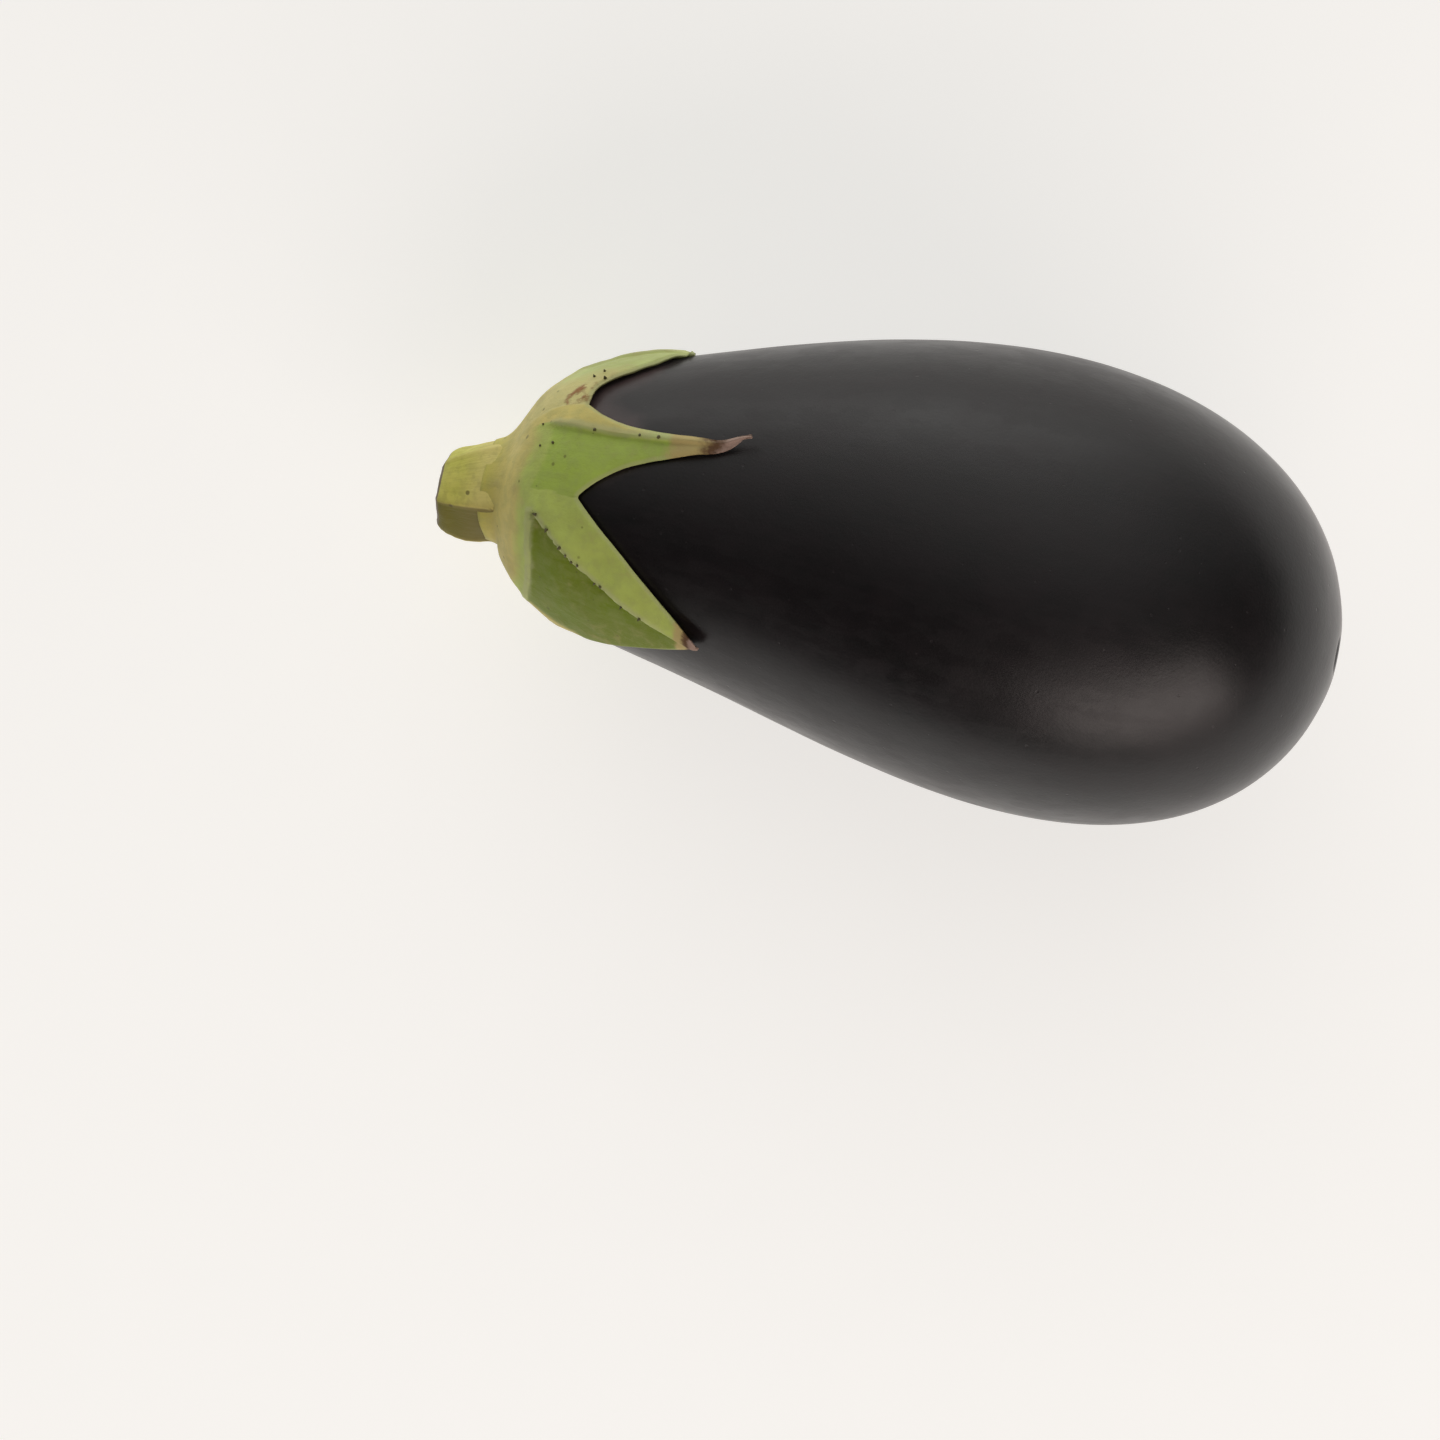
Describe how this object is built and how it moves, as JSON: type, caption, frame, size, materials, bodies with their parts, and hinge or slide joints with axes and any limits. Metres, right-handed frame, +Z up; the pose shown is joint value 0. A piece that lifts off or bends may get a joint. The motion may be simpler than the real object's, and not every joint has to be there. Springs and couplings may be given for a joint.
{
  "type": "eggplant",
  "caption": "Whole purple-black eggplant lying on its side: a smooth, pear-oval fruit capped at the shoulder by its green lobed calyx, with a short cut stem.",
  "frame": {"origin": "centre of the part's box at its base, on the surface that it lies on", "axes": "+Z up; +X runs along the fruit from the stem to the blossom end, level, while the fruit's own axis leans 8 degrees, stem end low; +Y is to the left when looking from the stem towards the blossom end"},
  "size_m": [0.1638, 0.0822, 0.0825],
  "materials": {
    "skin": "smooth waxy near-black purple skin with a soft gloss; gloss_plastic stands in for it",
    "calyx_green": "matt, fleshy, fuzzy green, tan at the collar, browned at one tip; leather stands in for it",
    "stem_bark": "matt, finely striated olive-yellow stem with a dull cut end"
  },
  "bodies": {
    "root": {"fruit": "skin", "calyx": "calyx_green", "stem": "stem_bark"}
  },
  "joints": []
}
